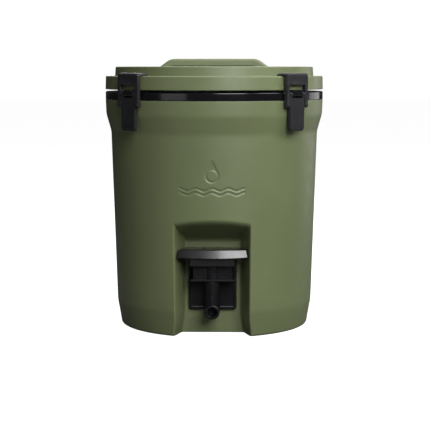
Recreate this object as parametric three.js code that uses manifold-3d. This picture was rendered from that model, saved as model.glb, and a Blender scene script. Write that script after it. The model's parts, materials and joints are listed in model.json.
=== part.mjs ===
// Large insulated water jug: a foam-filled double-wall body with a push-lever tap in a front recess,
// a foam-filled lid held by four draw latches, and a bail handle that folds into a pocket in the lid.
// Millimetres, +Z up. The origin is the middle of the base. The tap faces -Y.
import * as THREE from 'three';
import { mergeVertices } from 'three/addons/utils/BufferGeometryUtils.js';
import { ConvexGeometry } from 'three/addons/geometries/ConvexGeometry.js';
import Module from 'manifold-3d';

const wasm = await Module();
wasm.setup();

// ---- Driving dimensions -------------------------------------------------------------------

const GAP = 0.3;                 // between pieces that touch
const WALL = 3;                  // skin of the outer shell and of the lid cover
const ROUND = 48;                // sides of the large rounds
const ROUND_SMALL = 16;          // sides of tubes and washers
const ROUND_PIN = 12;            // sides of pins

// body
const FOOT_R = 126.5;            // outside of the ring that the jug stands on
const FOOT_INNER_R = 84;
const FOOT_H = 2.5;              // the middle of the base is this much off the ground
const CHAMFER_R = 136.9;
const CHAMFER_Z = 34;
const SHOULDER_LOW_R = 144.3;
const SHOULDER_LOW_Z = 271;
const SHOULDER_HIGH_R = 151;
const SHOULDER_HIGH_Z = 294.6;
const BODY_R = 151.8;
const BODY_TOP = 315.1;

// recess for the tap, open at the front and below
const RECESS_BACK = 90;          // distance of its back wall in front of the jug's axis
const RECESS_HALF = 38.4;        // half width at the back wall
const RECESS_FLARE = 0.285;      // half width gained per millimetre towards the mouth
const RECESS_SPLAY = 5;          // half width gained again at the very foot
const SPLAY_LEVELS = [36, 22, 10, 0, -10];
const RECESS_TOP = 127.8;        // ceiling height at the back wall
const RECESS_RISE = 0.55;        // ceiling height gained per millimetre towards the mouth
const BEYOND = 160;              // clear of the outside of the body

// tank
const TANK_WALL = 2.5;
const TANK_FLOOR = 40;
const TANK_LOW_R = 101;
const TANK_TOP_R = 106;
const TANK_TOP = 325.5;
const TANK_FLAT = 76;            // flat front that clears the recess
const TANK_FLAT_TOP = 150;
const TANK_FLAT_RUN = 36;        // the flat slopes out over this run above its top

// black rim ring
const RIM_LOW = 315.4;
const RIM_TOP = 326;
const RIM_WALL = 3.2;
const RIM_INNER_R = TANK_TOP_R + 0.4;

// lid
const LID_LOW = 328.8;
const FLANGE_R = 151.9;
const FLANGE_TOP_R = 151.3;
const FLANGE_TOP = 347.2;
const RING_R = 138.5;
const RING_TOP_R = 137.7;
const RING_TOP = 360;
const RING_LIP = 7;              // width of the lip round the sunken deck
const DECK_Z = 356;
const POCKET_X = 95;             // half length of the handle pocket
const POCKET_Y = 36;
const POCKET_CORNER = 30;
const POCKET_FLOOR = LID_LOW + WALL;
const PLUG_R = 102.6;
const PLUG_LOW = 310.5;
const LID_WALL = 2;              // skin of the lid's underside

// handle
const HANDLE_TOP = 371;
const HANDLE_TOP_HALF = 61;      // half length of the straight top
const HANDLE_HALF = 92;          // half length over the legs
const HANDLE_SLOPE = 11 / 16;    // fall of the shoulders
const HANDLE_BAR = 12.4;         // thickness seen from the front
const HANDLE_WIDTH = 20;         // front to back
const PIVOT_Z = 344;
const HANDLE_PIN_R = 4;

// draw latches, in the vertical plane through the jug's axis: r outwards, z up
const LATCH_ANGLES = { front_right: -45, rear_right: 45, rear_left: 135, front_left: -135 };
const PIVOT_R = 156.3;           // both latch pins at rest
const LEVER_PIVOT_Z = 323.5;
const HOOK_PIVOT_Z = 309;
const LATCH_PIN_R = 1.5;
const PIN_PLAY = 0.3;
const KNUCKLE_R = 3.2;
const LUG_HALF = 9.5;            // half width of the rim's lug between the lever's ears
const LUG_TOP = 329.3;
const LUG_IN = 153.2;            // inner face of the lug where it stands above the rim
const LEVER_HALF = 14;
const LEVER_LOW = 275;
const LEVER_IN = 153.6;
const LEVER_OUT = 158.6;
const LEVER_NOTCH_Z = 318.6;
const HOOK_HALF = 20;
const HOOK_WINDOW_HALF = 15;
const HOOK_WINDOW_TOP = 336;
const HOOK_IN = 153.9;
const HOOK_OUT = 159;
const HOOK_TOP = 351.6;
const HOOK_UNDER = 348.4;
const HOOK_TIP_R = 140.2;
const HOOK_TIP_UNDER = FLANGE_TOP + 0.4;

// tap: all depths are distances in front of the jug's axis
const PLATE_HALF = 32.2;
const PLATE_LOW = 32.6;
const PLATE_TOP = 105;
const PLATE_BACK = RECESS_BACK + 0.4;
const PLATE_FRONT = 95;
const PLATE_SKIN = 2;
const SHANK_Z = 64;
const SHANK_R = 9;
const SHANK_BORE = 6;
const SHANK_END = 62;
const TUBE_DEPTH = 112;          // axis of the valve tube
const TUBE_R = 10.3;
const TUBE_BORE = 6.6;
const SHELF_LOW = 74.6;
const SHELF_TOP = 77.4;
const SHELF_HALF = 31;
const SHELF_FRONT = 122.5;
const BLOCK_HALF = 26;
const BLOCK_FRONT = 119.2;
const BLOCK_TOP = 97.5;
const OUTLET_Z = 34.3;
const OUTLET_R = 9;
const OUTLET_BORE = 6.25;
const OUTLET_FRONT = 128.5;
const SEAT_LOW = 54;
const SEAT_TOP = 56.5;
const SEAT_R = 4.2;
const STEM_R = 3;
const STEM_TOP = 103.6;
const SPRING_LOW = 82;
const SPRING_POCKET_R = 6.2;
const PADDLE_PIVOT_DEPTH = 99.5;
const PADDLE_PIVOT_Z = 101;
const PADDLE_PIN_R = 1.6;
const PADDLE_TOP = 118;
const PADDLE_LOW = 106;
const PADDLE_UNDER = 105.4;
const PADDLE_REAR = 97;
const PADDLE_REAR_HALF = 37.4;
const PADDLE_TOP_FRONT = 128.6;  // front of the bowed upper edge
const PADDLE_TOP_HALF = 45;
const PADDLE_TIP = 133.4;        // the same for the lower edge
const PADDLE_TIP_HALF = 47;
const PADDLE_BOW = 4;            // how far the ends of both edges lie behind their middles
const PADDLE_RISE = 2;           // how far the lower edge rises towards its ends
const SKIRT_BACK = 125.4;
const SKIRT_FRONT = 127.2;
const SKIRT_LOW = 96.2;

// ---- Materials ----------------------------------------------------------------------------

const plastic = (color, roughness) => new THREE.MeshStandardMaterial({ color, roughness, metalness: 0 });
const olive = plastic(0x68714f, 0.5);
const blackGloss = plastic(0x121116, 0.22);
const blackMatte = plastic(0x1b1b1e, 0.5);
const tankGrey = plastic(0xc9cbc6, 0.4);
const foamCream = plastic(0xe4d8ae, 0.95);
const silicone = plastic(0xa7a9a8, 0.6);
const steel = new THREE.MeshStandardMaterial({ color: 0xb4b6b8, roughness: 0.35, metalness: 0.9 });

// ---- Geometry helpers ---------------------------------------------------------------------

// one indexed closed mesh that holds only positions
function weld(geometry) {
  geometry.deleteAttribute('normal');
  geometry.deleteAttribute('uv');
  const merged = mergeVertices(geometry, 1e-4);
  const index = merged.index.array;
  const kept = [];
  for (let i = 0; i < index.length; i += 3) {
    const [a, b, c] = [index[i], index[i + 1], index[i + 2]];
    if (a !== b && b !== c && c !== a) kept.push(a, b, c);
  }
  merged.setIndex(kept);
  return merged;
}

function signedVolume(geometry) {
  const position = geometry.attributes.position;
  const index = geometry.index.array;
  const [a, b, c] = [new THREE.Vector3(), new THREE.Vector3(), new THREE.Vector3()];
  let volume = 0;
  for (let i = 0; i < index.length; i += 3) {
    a.fromBufferAttribute(position, index[i]);
    b.fromBufferAttribute(position, index[i + 1]);
    c.fromBufferAttribute(position, index[i + 2]);
    volume += a.dot(b.cross(c)) / 6;
  }
  return volume;
}

// a solid for joining and cutting, with its faces pointing out
function solid(geometry) {
  const mesh = weld(geometry);
  const triVerts = Uint32Array.from(mesh.index.array);
  if (signedVolume(mesh) < 0) {
    for (let i = 0; i < triVerts.length; i += 3) {
      [triVerts[i + 1], triVerts[i + 2]] = [triVerts[i + 2], triVerts[i + 1]];
    }
  }
  const vertProperties = Float32Array.from(mesh.attributes.position.array);
  return new wasm.Manifold(new wasm.Mesh({ numProp: 3, vertProperties, triVerts }));
}

const cut = (body, ...tools) => tools.reduce((left, tool) => left.subtract(tool), body);
const join = (...bodies) => bodies.reduce((left, body) => left.add(body));

function geometryOf(body) {
  const mesh = body.getMesh();
  const geometry = new THREE.BufferGeometry();
  geometry.setAttribute('position', new THREE.BufferAttribute(Float32Array.from(mesh.vertProperties), 3));
  geometry.setIndex(Array.from(mesh.triVerts));
  geometry.computeVertexNormals();
  return geometry;
}

const outline = (points) => new THREE.Shape(points.map(([u, v]) => new THREE.Vector2(u, v)));

// a profile of [radius, height] points turned round the Z axis
function turned(points, sides) {
  const profile = points.map(([r, z]) => new THREE.Vector2(r, z));
  return solid(new THREE.LatheGeometry(profile, sides).rotateX(Math.PI / 2));
}

function extruded(shape, length, curveSegments = 4) {
  return new THREE.ExtrudeGeometry(shape, { depth: length, bevelEnabled: false, curveSegments });
}

// a shape drawn in X and Y, standing from z0 to z1
const standing = (shape, z0, z1) => solid(extruded(shape, z1 - z0).translate(0, 0, z0));

// a shape drawn in Y and Z, running along X from x0 to x1
function acrossX(shape, x0, x1) {
  const axes = new THREE.Matrix4().makeBasis(
    new THREE.Vector3(0, 1, 0), new THREE.Vector3(0, 0, 1), new THREE.Vector3(1, 0, 0));
  return solid(extruded(shape, x1 - x0).applyMatrix4(axes).translate(x0, 0, 0));
}

// a shape drawn in X and Z, running back from the depth `front` to the depth `back`
function throughDepth(shape, front, back) {
  const axes = new THREE.Matrix4().makeBasis(
    new THREE.Vector3(1, 0, 0), new THREE.Vector3(0, 0, 1), new THREE.Vector3(0, -1, 0));
  return solid(extruded(shape, front - back).applyMatrix4(axes).translate(0, -back, 0));
}

const box = (x0, x1, y0, y1, z0, z1) => solid(
  new THREE.BoxGeometry(x1 - x0, y1 - y0, z1 - z0).translate((x0 + x1) / 2, (y0 + y1) / 2, (z0 + z1) / 2));

const rod = (radius, length, sides) => new THREE.CylinderGeometry(radius, radius, length, sides);

// round bars along each axis; rodY runs from the depth `front` back to the depth `back`
const rodX = (radius, x0, x1, y, z, sides) => solid(
  rod(radius, x1 - x0, sides).rotateZ(Math.PI / 2).translate((x0 + x1) / 2, y, z));
const rodY = (radius, front, back, z, sides = ROUND_SMALL) => solid(
  rod(radius, front - back, sides).translate(0, -(front + back) / 2, z));
const rodZ = (radius, z0, z1, depth = 0, sides = ROUND_SMALL) => solid(
  rod(radius, z1 - z0, sides).rotateX(Math.PI / 2).translate(0, -depth, (z0 + z1) / 2));

function roundedRect(x0, x1, y0, y1, corner) {
  const shape = new THREE.Shape();
  shape.moveTo(x0 + corner, y0);
  shape.absarc(x1 - corner, y0 + corner, corner, -Math.PI / 2, 0);
  shape.absarc(x1 - corner, y1 - corner, corner, 0, Math.PI / 2);
  shape.absarc(x0 + corner, y1 - corner, corner, Math.PI / 2, Math.PI);
  shape.absarc(x0 + corner, y0 + corner, corner, Math.PI, Math.PI * 1.5);
  return shape;
}

// ---- The assembly -------------------------------------------------------------------------

const jug = new THREE.Group();

function addPiece(name, body, material, parent = jug) {
  const mesh = new THREE.Mesh(geometryOf(body), material);
  mesh.name = name;
  parent.add(mesh);
}

// ---- Body ---------------------------------------------------------------------------------

// the recess, grown by `extra` on every wall
function recessVolume(extra) {
  const sideGrowth = extra * Math.hypot(1, RECESS_FLARE);
  const ceilingGrowth = extra * Math.hypot(1, RECESS_RISE);
  const back = RECESS_BACK - extra;
  const half = (depth) => RECESS_HALF + RECESS_FLARE * (depth - RECESS_BACK) + sideGrowth;
  const ceiling = (depth) => RECESS_TOP + RECESS_RISE * (depth - RECESS_BACK) + ceilingGrowth;
  const plan = outline([
    [-half(BEYOND), -BEYOND], [half(BEYOND), -BEYOND], [half(back), -back], [-half(back), -back]]);
  const side = outline([
    [-back, -10], [-back, ceiling(back)], [-BEYOND, ceiling(BEYOND)], [-BEYOND, -10]]);
  const splay = (z) => RECESS_SPLAY * (1 - Math.max(z, 0) / SPLAY_LEVELS[0]) ** 2;
  const bands = SPLAY_LEVELS.slice(1).map((low, i) => {
    const corners = [];
    for (const z of [low, SPLAY_LEVELS[i]]) {
      for (const depth of [back, BEYOND]) {
        for (const sign of [-1, 1]) {
          corners.push(new THREE.Vector3(sign * (half(depth) + splay(z)), -depth, z));
        }
      }
    }
    return solid(new ConvexGeometry(corners));
  });
  return join(standing(plan, -10, 200).intersect(acrossX(side, -BEYOND, BEYOND)), ...bands);
}

// the inside of the outer shell, made smaller by `gap` and ending at `top`
function cavity(gap, top) {
  const skin = WALL + gap;
  const collarSlope = (BODY_R - SHOULDER_HIGH_R) / (BODY_TOP - SHOULDER_HIGH_Z);
  const topR = SHOULDER_HIGH_R + collarSlope * (top - SHOULDER_HIGH_Z);
  return turned([
    [0, FOOT_H + skin], [CHAMFER_R - skin - 6.5, FOOT_H + skin], [CHAMFER_R - skin, CHAMFER_Z],
    [SHOULDER_LOW_R - skin, SHOULDER_LOW_Z], [SHOULDER_HIGH_R - skin, SHOULDER_HIGH_Z],
    [topR - skin, top], [0, top]], ROUND);
}

// the outside of the tank, grown by `gap`; `inset` gives the inside instead
function tank(gap, inset, top) {
  const r = gap - inset;
  const floor = TANK_FLOOR - gap + inset;
  const round = turned([
    [0, floor], [TANK_LOW_R - 5 + r, floor], [TANK_LOW_R - 1.2 + r, floor + 1.4],
    [TANK_LOW_R + r, floor + 5], [TANK_TOP_R + r, TANK_TOP], [TANK_TOP_R + r, top], [0, top]], ROUND);
  const flat = TANK_FLAT + r;
  const flatTop = TANK_FLAT_TOP + inset - gap;
  const front = outline([
    [-flat, 0], [-flat, flatTop], [-flat - TANK_FLAT_RUN, flatTop + TANK_FLAT_RUN],
    [-BEYOND, flatTop + TANK_FLAT_RUN], [-BEYOND, 0]]);
  return round.subtract(acrossX(front, -BEYOND, BEYOND));
}

function makeBody() {
  const outside = turned([
    [0, FOOT_H], [FOOT_INNER_R - FOOT_H, FOOT_H], [FOOT_INNER_R, 0], [FOOT_R, 0],
    [FOOT_R + 2.8, 1.2], [FOOT_R + 4.1, 4.2], [CHAMFER_R, CHAMFER_Z], [SHOULDER_LOW_R, SHOULDER_LOW_Z],
    [SHOULDER_HIGH_R, SHOULDER_HIGH_Z], [BODY_R, BODY_TOP], [0, BODY_TOP]], ROUND);
  const hollow = cavity(0, BODY_TOP + 20).subtract(recessVolume(WALL));
  const shankHole = rodY(SHANK_R + 0.6, PLATE_FRONT, TANK_FLAT - 10, SHANK_Z, 24);
  const plugHole = rodZ(12, 0, 12);
  addPiece('outer_shell', cut(outside, recessVolume(0), hollow, shankHole, plugHole), olive);

  const foam = cavity(GAP, BODY_TOP - GAP);
  const foamHole = rodY(SHANK_R + 0.9, PLATE_FRONT, TANK_FLAT - 10, SHANK_Z, 24);
  const tankSpace = tank(GAP, 0, BODY_TOP + 20);
  addPiece('foam_core', cut(foam, recessVolume(WALL + GAP), tankSpace, foamHole), foamCream);

  const tankInside = tank(0, TANK_WALL, TANK_TOP + 10);
  addPiece('inner_liner', cut(tank(0, 0, TANK_TOP), tankInside, shankHole), tankGrey);

  addPiece('foam_plug', turned([
    [0, 1], [14.4, 1], [15, 1.6], [15, 2.2], [11.6, 2.2], [11.6, 5.3], [0, 5.3]], ROUND_SMALL), blackMatte);
}

// a solid drawn in the latch plane (r, z), from -half to +half across it
const latchSlab = (shape, half) => solid(extruded(shape, half * 2)
  .rotateX(Math.PI / 2).translate(0, half, 0));

const latchRod = (radius, half, z) => solid(
  rod(radius, half * 2, ROUND_PIN).translate(PIVOT_R, 0, z));

function makeRim() {
  const channel = [
    [RIM_INNER_R, RIM_LOW], [RIM_INNER_R + RIM_WALL, RIM_LOW], [RIM_INNER_R + RIM_WALL, RIM_TOP - RIM_WALL],
    [BODY_R - RIM_WALL, RIM_TOP - RIM_WALL], [BODY_R - RIM_WALL, RIM_LOW], [BODY_R, RIM_LOW],
    [BODY_R, RIM_TOP - 0.8], [BODY_R - 0.8, RIM_TOP], [RIM_INNER_R, RIM_TOP], [RIM_INNER_R, RIM_LOW]];
  const lug = new THREE.Shape();
  lug.moveTo(BODY_R - 1.6, LEVER_PIVOT_Z - KNUCKLE_R);
  lug.lineTo(PIVOT_R, LEVER_PIVOT_Z - KNUCKLE_R);
  lug.absarc(PIVOT_R, LEVER_PIVOT_Z, KNUCKLE_R, -Math.PI / 2, 0);
  lug.lineTo(PIVOT_R + KNUCKLE_R, LUG_TOP - 1.6);
  lug.lineTo(PIVOT_R + KNUCKLE_R - 1.4, LUG_TOP);
  lug.lineTo(LUG_IN, LUG_TOP);
  lug.lineTo(LUG_IN, RIM_TOP - 0.2);
  lug.lineTo(BODY_R - 1.6, RIM_TOP - 0.2);
  let rim = turned(channel, ROUND);
  for (const angle of Object.values(LATCH_ANGLES)) {
    const block = latchSlab(lug, LUG_HALF).subtract(latchRod(LATCH_PIN_R + PIN_PLAY, 15, LEVER_PIVOT_Z));
    rim = rim.add(block.rotate(0, 0, angle));
  }
  addPiece('rim_ring', rim, blackGloss);
}

// ---- Latches ------------------------------------------------------------------------------

function latchLever() {
  const side = new THREE.Shape();
  side.moveTo(LEVER_IN + 0.6, LEVER_LOW + 0.4);
  side.lineTo(LEVER_OUT - 0.8, LEVER_LOW);
  side.lineTo(LEVER_OUT, LEVER_LOW + 3);
  side.lineTo(LEVER_OUT, LEVER_NOTCH_Z - 1.6);
  side.lineTo(PIVOT_R + KNUCKLE_R, LEVER_PIVOT_Z - 2);
  side.absarc(PIVOT_R, LEVER_PIVOT_Z, KNUCKLE_R, 0, Math.PI);
  side.lineTo(PIVOT_R - KNUCKLE_R, LEVER_PIVOT_Z - 3.5);
  side.lineTo(LEVER_IN, LEVER_NOTCH_Z - 2.6);
  side.lineTo(LEVER_IN, LEVER_LOW + 6);

  const corner = 5;
  const low = LEVER_HALF - 1;
  const face = new THREE.Shape();
  face.moveTo(-LEVER_HALF, LEVER_PIVOT_Z + 5);
  face.lineTo(-low, LEVER_LOW + corner);
  face.absarc(-low + corner, LEVER_LOW + corner, corner, Math.PI, Math.PI * 1.5);
  face.absarc(low - corner, LEVER_LOW + corner, corner, -Math.PI / 2, 0);
  face.lineTo(LEVER_HALF, LEVER_PIVOT_Z + 5);
  const faceSlab = acrossX(face, LEVER_IN - 3, LEVER_OUT + 3);

  const notch = LUG_HALF + 0.4;
  return cut(latchSlab(side, LEVER_HALF).intersect(faceSlab),
    box(LEVER_IN - 3, LEVER_OUT + 3, -notch, notch, LEVER_NOTCH_Z, LEVER_PIVOT_Z + 6),
    latchRod(LATCH_PIN_R + PIN_PLAY, 16, LEVER_PIVOT_Z),
    latchRod(LATCH_PIN_R + PIN_PLAY, 16, HOOK_PIVOT_Z));
}

function latchHook() {
  const side = new THREE.Shape();
  side.moveTo(PIVOT_R - KNUCKLE_R, HOOK_PIVOT_Z);
  side.absarc(PIVOT_R, HOOK_PIVOT_Z, KNUCKLE_R, Math.PI, Math.PI * 2);
  side.lineTo(HOOK_OUT, HOOK_PIVOT_Z + 4);
  side.lineTo(HOOK_OUT, HOOK_TOP - 3.5);
  side.absarc(HOOK_OUT - 3.5, HOOK_TOP - 3.5, 3.5, 0, Math.PI / 2);
  side.lineTo(HOOK_TIP_R + 6, HOOK_TOP - 0.4);
  side.lineTo(HOOK_TIP_R + 1.3, HOOK_TOP - 1.4);
  side.lineTo(HOOK_TIP_R, HOOK_TOP - 2.6);
  side.lineTo(HOOK_TIP_R, HOOK_TIP_UNDER);
  side.lineTo(HOOK_TIP_R + 2.1, HOOK_TIP_UNDER);
  side.lineTo(HOOK_TIP_R + 2.9, HOOK_UNDER);
  side.lineTo(HOOK_IN - 1.5, HOOK_UNDER);
  side.lineTo(HOOK_IN, HOOK_UNDER - 2);
  side.lineTo(HOOK_IN, HOOK_PIVOT_Z + 4);
  return cut(latchSlab(side, HOOK_HALF),
    box(HOOK_IN - 5, HOOK_OUT + 5, -HOOK_WINDOW_HALF, HOOK_WINDOW_HALF, HOOK_PIVOT_Z - 8, HOOK_WINDOW_TOP),
    latchRod(LATCH_PIN_R + PIN_PLAY, HOOK_HALF + 2, HOOK_PIVOT_Z));
}

function makeLatches() {
  for (const [place, angle] of Object.entries(LATCH_ANGLES)) {
    const latch = new THREE.Group();
    latch.rotation.z = THREE.MathUtils.degToRad(angle);
    jug.add(latch);
    addPiece(`latch_lever_${place}`, latchLever(), blackMatte, latch);
    addPiece(`latch_hook_${place}`, latchHook(), blackMatte, latch);
    addPiece(`lever_pin_${place}`, latchRod(LATCH_PIN_R, LEVER_HALF - 0.4, LEVER_PIVOT_Z), steel, latch);
    addPiece(`hook_pin_${place}`, latchRod(LATCH_PIN_R, HOOK_HALF - 0.4, HOOK_PIVOT_Z), steel, latch);
  }
}

// ---- Lid ----------------------------------------------------------------------------------

function pocket(extra, floor) {
  const plan = roundedRect(
    -POCKET_X - extra, POCKET_X + extra, -POCKET_Y - extra, POCKET_Y + extra, POCKET_CORNER + extra);
  return standing(plan, floor, RING_TOP + 5);
}

function makeLid() {
  const deckR = RING_TOP_R - RING_LIP;
  const outside = turned([
    [0, LID_LOW], [FLANGE_R, LID_LOW], [FLANGE_TOP_R, FLANGE_TOP - 1], [FLANGE_TOP_R - 1, FLANGE_TOP],
    [RING_R, FLANGE_TOP], [RING_TOP_R, RING_TOP - 1.5], [RING_TOP_R - 1.5, RING_TOP],
    [deckR, RING_TOP], [deckR - 2.5, DECK_Z], [0, DECK_Z]], ROUND);
  // the space under the skin, made smaller by `gap`, from `low` up
  const inside = (gap, low) => [
    [FLANGE_R - WALL - 0.4 - gap, low], [FLANGE_TOP_R - WALL - gap, FLANGE_TOP - WALL - gap],
    [RING_R - WALL - gap, FLANGE_TOP - WALL - gap], [RING_TOP_R - WALL - gap, RING_TOP - WALL - 0.5 - gap],
    [deckR + 0.8, RING_TOP - WALL - 0.5 - gap], [deckR - 1.9, DECK_Z - WALL - gap], [0, DECK_Z - WALL - gap]];
  const pinHole = rodX(HANDLE_PIN_R + PIN_PLAY, -POCKET_X - 6, POCKET_X + 6, 0, PIVOT_Z, ROUND_SMALL);
  const hollow = turned([[0, LID_LOW - 5], [FLANGE_R - WALL - 0.4, LID_LOW - 5], ...inside(0, LID_LOW)], ROUND)
    .subtract(pocket(WALL, LID_LOW - 8));
  addPiece('lid_cover', cut(outside, pocket(0, POCKET_FLOOR), hollow, pinHole), olive);

  const skin = LID_WALL + GAP;
  const plate = LID_LOW + 0.4;
  const foam = turned([
    [0, PLUG_LOW + skin], [PLUG_R - skin - 3, PLUG_LOW + skin], [PLUG_R - skin, PLUG_LOW + skin + 3],
    [PLUG_R - skin, plate + skin], ...inside(GAP, plate + skin)], ROUND);
  const pinRoom = rodX(HANDLE_PIN_R + 1, -POCKET_X - 8, POCKET_X + 8, 0, PIVOT_Z, ROUND_SMALL);
  addPiece('lid_foam', cut(foam, pocket(WALL + GAP, LID_LOW - GAP), pinRoom), foamCream);

  addPiece('lid_liner', turned([
    [0, PLUG_LOW], [PLUG_R - 3, PLUG_LOW], [PLUG_R, PLUG_LOW + 3], [PLUG_R, plate],
    [FLANGE_R - WALL - 0.9, plate], [FLANGE_R - WALL - 0.9, plate + LID_WALL],
    [PLUG_R - LID_WALL, plate + LID_WALL], [PLUG_R - LID_WALL, PLUG_LOW + LID_WALL + 2],
    [PLUG_R - LID_WALL - 2, PLUG_LOW + LID_WALL], [0, PLUG_LOW + LID_WALL]], ROUND), tankGrey);

  addPiece('lid_gasket', turned([
    [PLUG_R + 1.6, RIM_TOP + GAP], [PLUG_R + 7.6, RIM_TOP + GAP], [PLUG_R + 7.6, plate - GAP],
    [PLUG_R + 1.6, plate - GAP], [PLUG_R + 1.6, RIM_TOP + GAP]], ROUND), silicone);
}

function makeHandle() {
  const fall = (x) => HANDLE_TOP - (x - HANDLE_TOP_HALF) * HANDLE_SLOPE;
  const low = PIVOT_Z - HANDLE_WIDTH / 2;
  const leg = 11;
  const innerTopHalf = HANDLE_TOP_HALF - 4;
  const innerTop = HANDLE_TOP - HANDLE_BAR;
  const innerLegHalf = HANDLE_HALF - leg;
  const innerKnee = innerTop - (innerLegHalf - innerTopHalf) * HANDLE_SLOPE;
  const front = outline([
    [-HANDLE_TOP_HALF, HANDLE_TOP], [-HANDLE_HALF, fall(HANDLE_HALF)], [-HANDLE_HALF, low],
    [-innerLegHalf, low], [-innerLegHalf, innerKnee], [-innerTopHalf, innerTop],
    [innerTopHalf, innerTop], [innerLegHalf, innerKnee], [innerLegHalf, low],
    [HANDLE_HALF, low], [HANDLE_HALF, fall(HANDLE_HALF)], [HANDLE_TOP_HALF, HANDLE_TOP]]);
  const half = HANDLE_WIDTH / 2;
  const side = new THREE.Shape();
  side.moveTo(-half, PIVOT_Z);
  side.absarc(0, PIVOT_Z, half, Math.PI, Math.PI * 2);
  side.lineTo(half, HANDLE_TOP - 3);
  side.lineTo(half - 3, HANDLE_TOP);
  side.lineTo(3 - half, HANDLE_TOP);
  side.lineTo(-half, HANDLE_TOP - 3);
  const bail = throughDepth(front, half, -half).intersect(acrossX(side, -BEYOND, BEYOND));
  const bore = rodX(HANDLE_PIN_R + PIN_PLAY, -BEYOND, BEYOND, 0, PIVOT_Z, ROUND_SMALL);
  addPiece('handle', bail.subtract(bore), olive);

  for (const [place, sign] of [['left', -1], ['right', 1]]) {
    const ends = [sign * (innerLegHalf - 1.5), sign * (POCKET_X + WALL + 0.8)].sort((a, b) => a - b);
    addPiece(`handle_pin_${place}`,
      rodX(HANDLE_PIN_R, ends[0], ends[1], 0, PIVOT_Z, ROUND_SMALL), blackMatte);
  }
}

// ---- Tap ----------------------------------------------------------------------------------

function makeTapMounting() {
  const plate = throughDepth(
    roundedRect(-PLATE_HALF, PLATE_HALF, PLATE_LOW, PLATE_TOP, 4), PLATE_FRONT, PLATE_BACK);
  const rear = box(-PLATE_HALF + 3, PLATE_HALF - 3, -PLATE_FRONT + PLATE_SKIN, -PLATE_BACK + 5,
    PLATE_LOW + 3, PLATE_TOP - 3);
  const hole = rodY(SHANK_R + 0.4, PLATE_FRONT + 5, RECESS_BACK - 5, SHANK_Z, 24);
  addPiece('tap_faceplate', cut(plate, rear, hole), blackMatte);

  const washer = (radius, front, back) => rodY(radius, front, back, SHANK_Z, 24)
    .subtract(rodY(SHANK_R + 0.4, front + 2, back - 2, SHANK_Z, 24));
  addPiece('tap_outer_washer', washer(16, PLATE_FRONT - PLATE_SKIN - GAP, RECESS_BACK + GAP), silicone);
  const tankFace = TANK_FLAT - TANK_WALL;
  addPiece('tap_inner_washer', washer(15.5, tankFace - GAP, tankFace - 1.9), silicone);

  const nutFront = tankFace - 2.2;
  const nutBack = nutFront - 8;
  const nut = rodY(16, nutFront, nutBack, SHANK_Z, 6);
  addPiece('tap_nut', nut.subtract(rodY(SHANK_R + 0.4, nutFront + 2, nutBack - 2, SHANK_Z, 24)), blackMatte);

  const shank = rodY(SHANK_R, PLATE_FRONT + 0.1, SHANK_END, SHANK_Z, 24);
  addPiece('tap_shank', shank.subtract(rodY(SHANK_BORE, PLATE_FRONT + 2, SHANK_END - 2, SHANK_Z)), blackMatte);
}

function makeTapHousing() {
  const back = PLATE_FRONT + GAP;
  const side = new THREE.Shape();
  const blockLow = SHELF_LOW + 1;
  side.moveTo(-back, blockLow);
  side.lineTo(-back, PADDLE_PIVOT_Z);
  side.absarc(-PADDLE_PIVOT_DEPTH, PADDLE_PIVOT_Z, 3.6, 0, Math.PI);
  side.lineTo(-PADDLE_PIVOT_DEPTH - 3.6, BLOCK_TOP);
  side.lineTo(-BLOCK_FRONT, BLOCK_TOP);
  side.lineTo(-BLOCK_FRONT, blockLow);
  const block = acrossX(side, -BLOCK_HALF, BLOCK_HALF);
  const relief = rodZ(TUBE_R, blockLow, BLOCK_TOP, TUBE_DEPTH, 24);
  const shelf = standing(
    roundedRect(-SHELF_HALF, SHELF_HALF, -SHELF_FRONT, -back - 2, 3), SHELF_LOW, SHELF_TOP);
  addPiece('tap_housing', cut(join(block, relief, shelf),
    rodZ(STEM_R + 0.5, SHELF_LOW - 2, BLOCK_TOP + 2, TUBE_DEPTH),
    rodZ(SPRING_POCKET_R, SPRING_LOW, BLOCK_TOP + 2, TUBE_DEPTH),
    rodZ(5.2, SHELF_LOW - 2, SHELF_TOP, TUBE_DEPTH),
    box(-2.6, 2.6, -TUBE_DEPTH - TUBE_R - 1, -TUBE_DEPTH - TUBE_R + 1.8, 85.5, 92),
    rodX(PADDLE_PIN_R + PIN_PLAY, -BLOCK_HALF - 2, BLOCK_HALF + 2, -PADDLE_PIVOT_DEPTH, PADDLE_PIVOT_Z,
      ROUND_PIN)), blackMatte);

  addPiece('stem_seal', rodZ(5, SHELF_LOW, SHELF_TOP - GAP, TUBE_DEPTH)
    .subtract(rodZ(STEM_R + 0.2, SHELF_LOW - 2, SHELF_TOP + 2, TUBE_DEPTH)), silicone);

  addPiece('paddle_pin', rodX(PADDLE_PIN_R, -BLOCK_HALF - 3, BLOCK_HALF + 3, -PADDLE_PIVOT_DEPTH,
    PADDLE_PIVOT_Z, ROUND_PIN), steel);
}

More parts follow.
